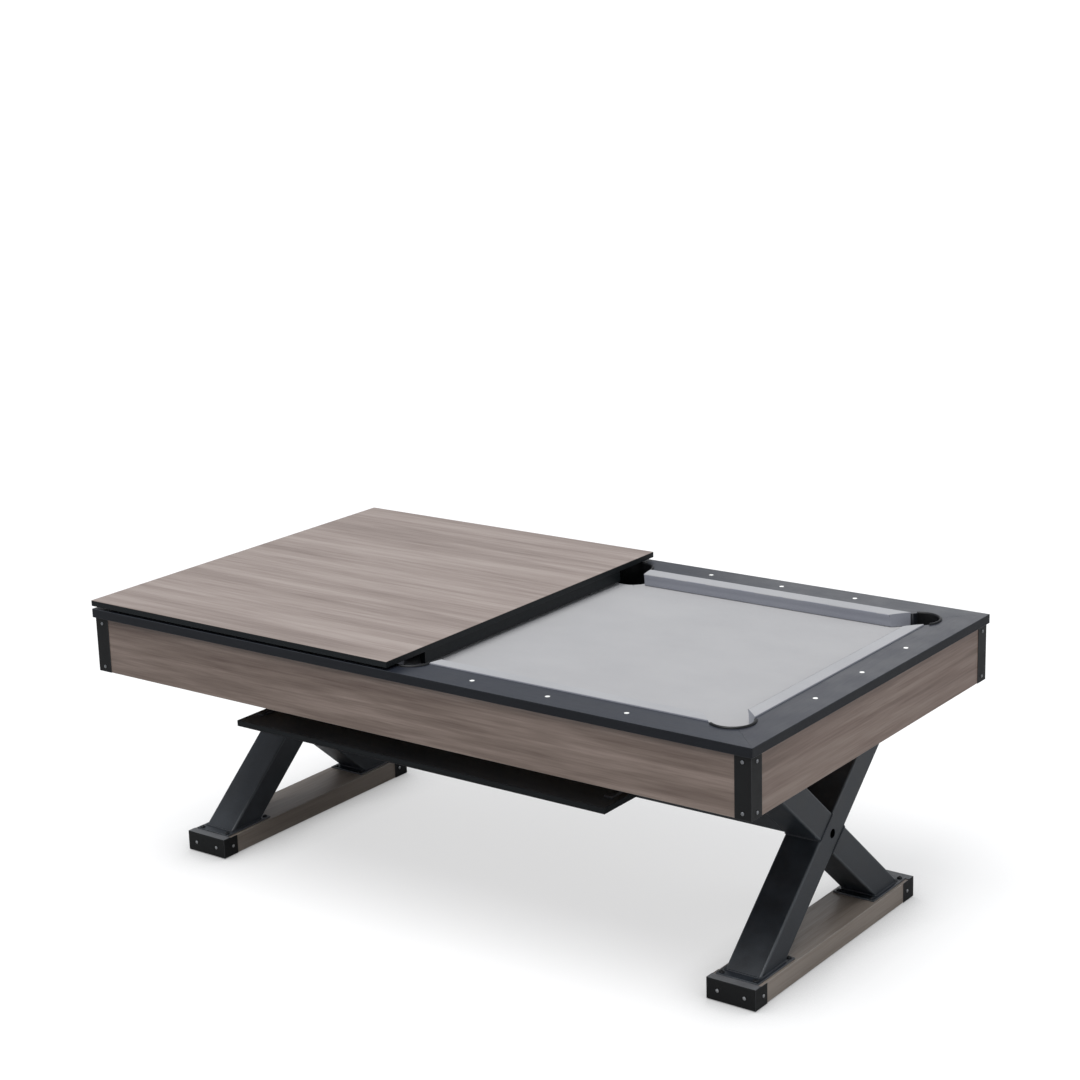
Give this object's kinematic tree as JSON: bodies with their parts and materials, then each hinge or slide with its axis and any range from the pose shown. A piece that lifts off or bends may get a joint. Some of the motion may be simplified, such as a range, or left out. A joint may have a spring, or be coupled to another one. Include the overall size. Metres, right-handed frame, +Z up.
{
  "type": "pool table",
  "caption": "Pool table with six drop pockets on crossed box-tube legs; a two-piece lift-off dining cover, one half on the rails and one half stowed under the cabinet.",
  "frame": {"origin": "on the floor, under the middle of the table", "axes": "+X along the table, towards the open end; +Y across the table, towards the back; +Z up"},
  "size_m": [2.21, 1.256, 0.815],
  "materials": {
    "laminate": "grey-beige wood-grain laminate, satin, grain along the board",
    "laminate_dark": "grey-beige wood-grain laminate, satin, low light",
    "laminate_cover": "grey-beige wood-grain laminate, satin, grain along the table",
    "black_steel": "black powder coat, fine texture",
    "leg_steel": "black powder coat, satin",
    "black_bolt": "blackened steel bolt",
    "bolt_zinc": "bright zinc-plated dome head",
    "leveler_steel": "black painted steel",
    "raw_wood": "bare engineered wood",
    "fibreboard": "bare fibreboard",
    "grey_cloth": "light grey woven wool-blend bed cloth",
    "rail_black": "black laminate, satin",
    "white_sight": "white moulded sight, gloss",
    "pocket_black": "black moulded pocket liner, satin",
    "cover_black": "black melamine, satin",
    "rubber_strip": "black rubber rest strip"
  },
  "bodies": {
    "table": {"foot_beam_left": "laminate_dark", "foot_beam_right": "laminate_dark", "foot_caps": "black_steel", "foot_cap_bolts": "bolt_zinc", "leveler_inserts": "bolt_zinc", "left_through_arm": "leg_steel", "left_upper_arm": "leg_steel", "left_lower_arm": "leg_steel", "right_through_arm": "leg_steel", "right_upper_arm": "leg_steel", "right_lower_arm": "leg_steel", "leg_flanges": "leg_steel", "leg_flange_bolts": "black_bolt", "stretcher_beam": "leg_steel", "stretcher_board": "laminate_dark", "stretcher_bolts": "black_bolt", "front_apron": "laminate", "back_apron": "laminate", "left_apron": "laminate", "right_apron": "laminate", "corner_caps": "black_steel", "corner_cap_bolts": "bolt_zinc", "leg_beams": "raw_wood", "cross_members": "raw_wood", "bed_cleats": "raw_wood", "bed_slab": "fibreboard", "bed_cloth": "grey_cloth", "rail_front": "rail_black", "rail_back": "rail_black", "rail_left": "rail_black", "rail_right": "rail_black", "cushion_front_left": "grey_cloth", "cushion_front_right": "grey_cloth", "cushion_back_left": "grey_cloth", "cushion_back_right": "grey_cloth", "cushion_left": "grey_cloth", "cushion_right": "grey_cloth", "sights": "white_sight", "rail_bolts": "bolt_zinc", "pocket_front_left": "pocket_black", "pocket_front_middle": "pocket_black", "pocket_front_right": "pocket_black", "pocket_back_left": "pocket_black", "pocket_back_middle": "pocket_black", "pocket_back_right": "pocket_black", "stow_runners": "black_steel", "runner_screws": "bolt_zinc"},
    "cover": {"cover_board": "cover_black", "cover_sheet": "laminate_cover", "cover_batten": "cover_black", "cover_strips": "rubber_strip"},
    "stowed_cover": {"stowed_board": "cover_black", "stowed_sheet": "laminate_cover", "stowed_batten": "cover_black", "stowed_strips": "rubber_strip"},
    "leveler_front_left": {"leveler_front_left": "leveler_steel"},
    "leveler_front_right": {"leveler_front_right": "leveler_steel"},
    "leveler_back_left": {"leveler_back_left": "leveler_steel"},
    "leveler_back_right": {"leveler_back_right": "leveler_steel"}
  },
  "joints": [
    {"name": "cover_lift", "type": "slide", "parent": "table", "child": "cover", "axis": [0, 0, 1], "range_m": [0, 0.3]},
    {"name": "stowed_cover_slide", "type": "slide", "parent": "table", "child": "stowed_cover", "axis": [0, -1, 0], "range_m": [-0.9, 0.9]},
    {"name": "leveler_front_left_travel", "type": "slide", "parent": "table", "child": "leveler_front_left", "axis": [0, 0, -1], "range_m": [0, 0.012]},
    {"name": "leveler_front_right_travel", "type": "slide", "parent": "table", "child": "leveler_front_right", "axis": [0, 0, -1], "range_m": [0, 0.012]},
    {"name": "leveler_back_left_travel", "type": "slide", "parent": "table", "child": "leveler_back_left", "axis": [0, 0, -1], "range_m": [0, 0.012]},
    {"name": "leveler_back_right_travel", "type": "slide", "parent": "table", "child": "leveler_back_right", "axis": [0, 0, -1], "range_m": [0, 0.012]}
  ]
}
